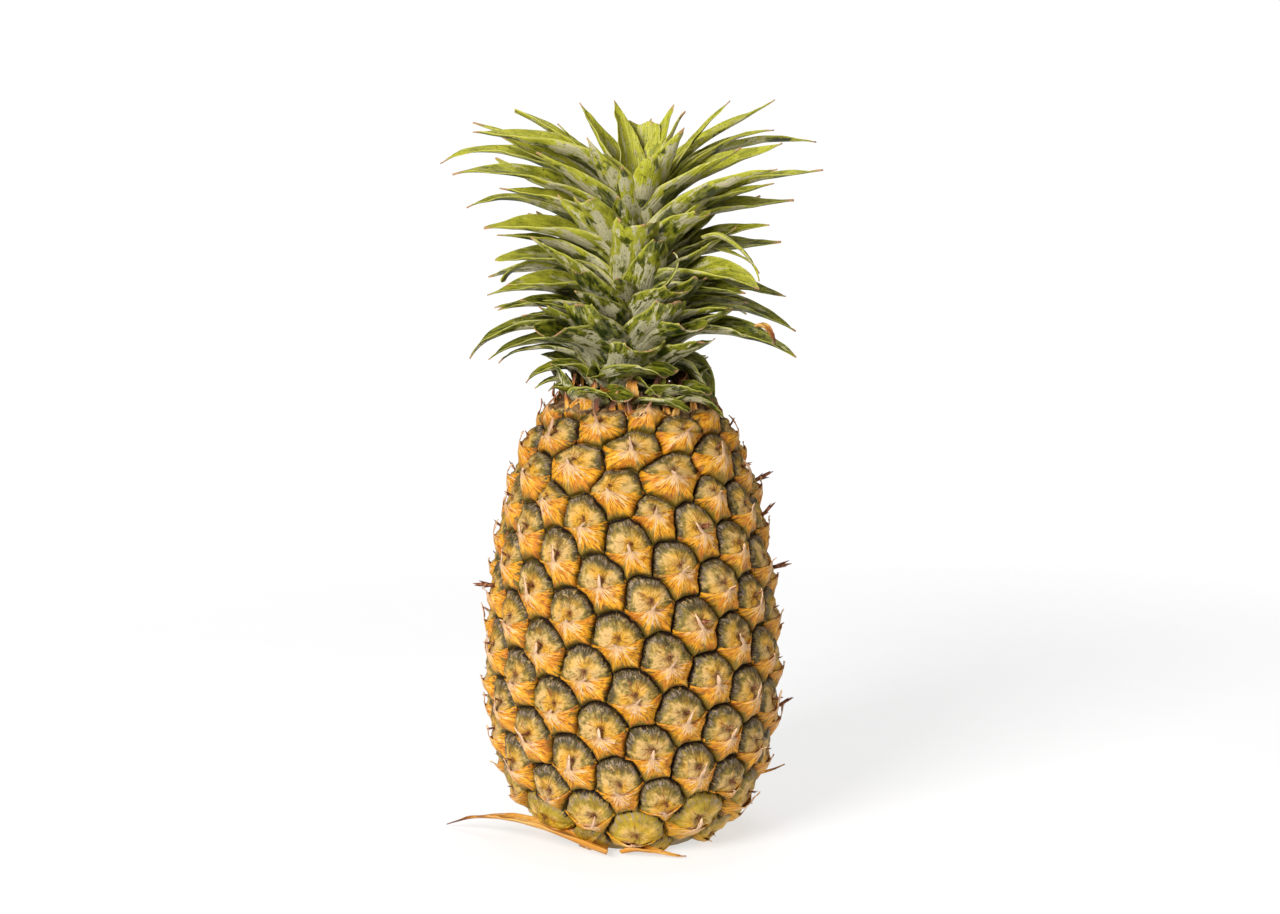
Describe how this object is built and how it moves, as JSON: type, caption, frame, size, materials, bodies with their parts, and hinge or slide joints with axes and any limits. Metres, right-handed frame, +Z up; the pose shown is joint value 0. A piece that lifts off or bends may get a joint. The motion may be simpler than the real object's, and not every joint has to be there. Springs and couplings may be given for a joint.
{
  "type": "pineapple",
  "caption": "Whole fresh pineapple with its leafy crown, standing on its cut stalk, with dry bracts spread at its foot.",
  "frame": {"origin": "centre of the cut stalk's lower face, on the plane that the fruit stands on", "axes": "+Z up along the fruit towards its crown, -Y towards the front, +X to the front's right"},
  "size_m": [0.1629, 0.1365, 0.318],
  "materials": {
    "fruit_skin": "matt, golden yellow with grey-green eyes and dark seams",
    "cut_stalk": "matt, dry fibres",
    "crown_stem": "matt, pale green",
    "dry_bract": "satin, dry and papery",
    "crown_leaf": "satin, green under a whitish bloom"
  },
  "bodies": {
    "root": {"fruit": "fruit_skin", "stalk_stub": "cut_stalk", "crown_stem": "crown_stem", "basal_bract_long": "dry_bract", "basal_bract_short": "dry_bract", "crown_leaf_01": "crown_leaf", "crown_leaf_02": "crown_leaf", "crown_leaf_03": "crown_leaf", "crown_leaf_04": "crown_leaf", "crown_leaf_05": "crown_leaf", "crown_leaf_06": "crown_leaf", "crown_leaf_07": "crown_leaf", "crown_leaf_08": "crown_leaf", "crown_leaf_09": "crown_leaf", "crown_leaf_10": "crown_leaf", "crown_leaf_11": "crown_leaf", "crown_leaf_12": "crown_leaf", "crown_leaf_13": "crown_leaf", "crown_leaf_14": "crown_leaf", "crown_leaf_15": "crown_leaf", "crown_leaf_16": "crown_leaf", "crown_leaf_17": "crown_leaf", "crown_leaf_18": "crown_leaf", "crown_leaf_19": "crown_leaf", "crown_leaf_20": "crown_leaf", "crown_leaf_21": "crown_leaf", "crown_leaf_22": "crown_leaf", "crown_leaf_23": "crown_leaf", "crown_leaf_24": "crown_leaf", "crown_leaf_25": "crown_leaf", "crown_leaf_26": "crown_leaf", "crown_leaf_27": "crown_leaf", "crown_leaf_28": "crown_leaf", "crown_leaf_29": "crown_leaf", "crown_leaf_30": "crown_leaf", "crown_leaf_31": "crown_leaf", "crown_leaf_32": "crown_leaf", "crown_leaf_33": "crown_leaf", "crown_leaf_34": "crown_leaf", "crown_leaf_35": "crown_leaf", "crown_leaf_36": "crown_leaf", "crown_leaf_37": "crown_leaf", "crown_leaf_38": "crown_leaf", "crown_leaf_39": "crown_leaf", "crown_leaf_40": "crown_leaf", "crown_leaf_41": "crown_leaf", "crown_leaf_42": "crown_leaf", "crown_leaf_43": "crown_leaf", "crown_leaf_44": "crown_leaf", "crown_leaf_45": "crown_leaf", "crown_leaf_46": "crown_leaf", "crown_leaf_47": "crown_leaf", "crown_leaf_48": "crown_leaf", "crown_leaf_49": "crown_leaf", "crown_leaf_50": "crown_leaf", "crown_leaf_51": "crown_leaf", "crown_leaf_52": "crown_leaf", "crown_leaf_53": "crown_leaf", "crown_leaf_54": "crown_leaf"}
  },
  "joints": []
}
